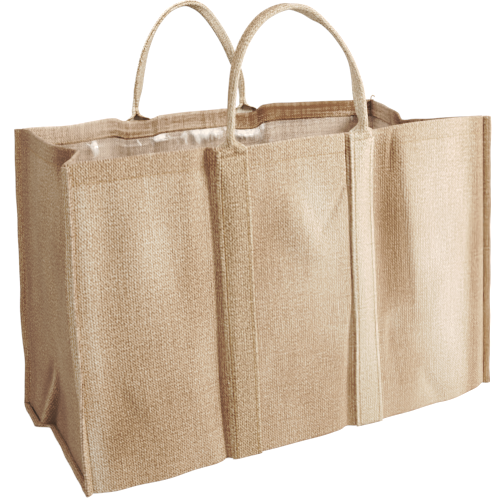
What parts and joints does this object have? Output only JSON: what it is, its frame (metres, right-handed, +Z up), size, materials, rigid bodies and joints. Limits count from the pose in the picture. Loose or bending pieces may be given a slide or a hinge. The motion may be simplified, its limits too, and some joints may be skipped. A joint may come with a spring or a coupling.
{
  "type": "firewood bag",
  "caption": "Wide open-top jute tote for carrying firewood, standing open on its base, with a clear film inside and a strap handle on each long side.",
  "frame": {"origin": "middle of the base, on the floor the bag stands on", "axes": "+X to the right along the long front wall, +Y from the front wall to the back wall, +Z up"},
  "size_m": [0.6218, 0.3216, 0.5542],
  "materials": {
    "jute_cloth": "matte",
    "jute_strap": "matte",
    "clear_film": "gloss"
  },
  "bodies": {
    "root": {"body_cloth": "jute_cloth", "gusset_left": "jute_cloth", "gusset_right": "jute_cloth", "strap_front": "jute_strap", "strap_back": "jute_strap", "film_lining": "clear_film"}
  },
  "joints": []
}
